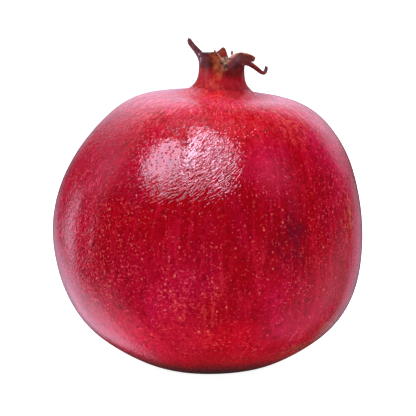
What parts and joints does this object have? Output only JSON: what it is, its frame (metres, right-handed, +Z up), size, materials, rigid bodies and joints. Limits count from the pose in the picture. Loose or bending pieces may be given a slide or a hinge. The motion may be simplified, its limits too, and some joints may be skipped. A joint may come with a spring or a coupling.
{
  "type": "pomegranate",
  "caption": "Whole ripe pomegranate standing on the small flat spot at its base, with its dry calyx crown on top and stamens inside the crown.",
  "frame": {"origin": "centre of the fruit's footprint on the surface it rests on", "axes": "+Z up through the crown, -Y towards the side that the crown's front notch faces"},
  "size_m": [0.1001, 0.1, 0.1064],
  "materials": {
    "rind": "glossy",
    "stamens": "matte",
    "stalk": "matte"
  },
  "bodies": {
    "root": {"rind": "rind", "stamens": "stamens", "stalk_stub": "stalk"}
  },
  "joints": []
}
